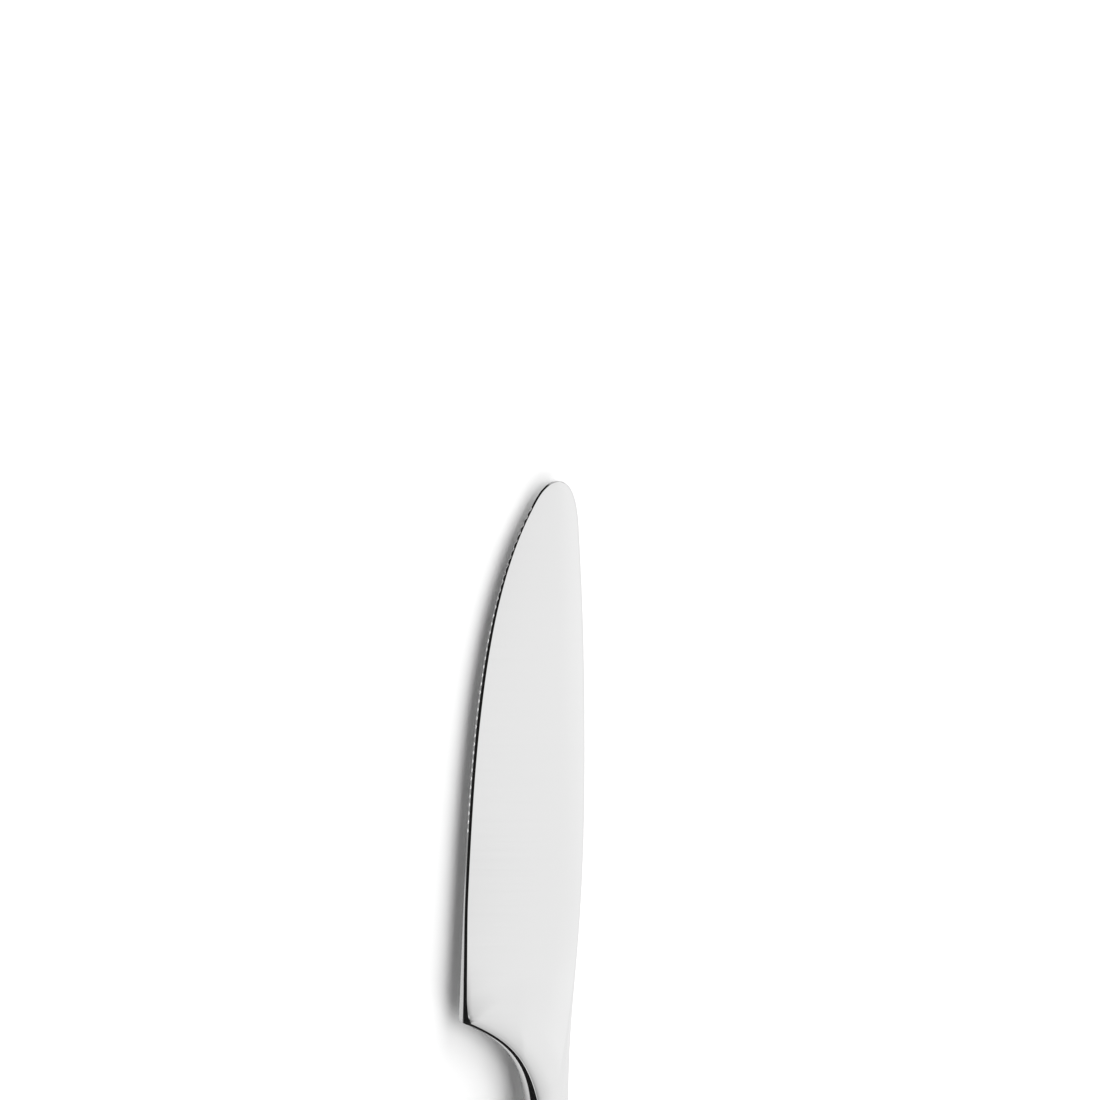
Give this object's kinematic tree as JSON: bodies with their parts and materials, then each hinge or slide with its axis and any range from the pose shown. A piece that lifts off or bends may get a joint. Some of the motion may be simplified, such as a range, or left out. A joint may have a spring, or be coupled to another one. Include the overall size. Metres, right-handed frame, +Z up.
{
  "type": "fruit knife",
  "caption": "Polished steel fruit knife with a rounded tip, finely serrated edge, slim neck and hollow oval handle, for cutting and peeling fruit at the table",
  "frame": {"origin": "middle of the knife's box, on the table under the knife as it lies on its side", "axes": "+Y along the knife from the butt to the tip, +X from the cutting edge to the spine, +Z up from the table"},
  "size_m": [0.0198, 0.17, 0.008],
  "materials": {
    "blade_steel": "polished",
    "front_shell_steel": "polished",
    "back_shell_steel": "polished",
    "seam_braze": "satin",
    "shoulder_braze": "satin",
    "cement": "matte"
  },
  "bodies": {
    "root": {"blade": "blade_steel", "handle_front_shell": "front_shell_steel", "handle_back_shell": "back_shell_steel", "seam_braze": "seam_braze", "shoulder_braze": "shoulder_braze", "cement_core": "cement"}
  },
  "joints": []
}
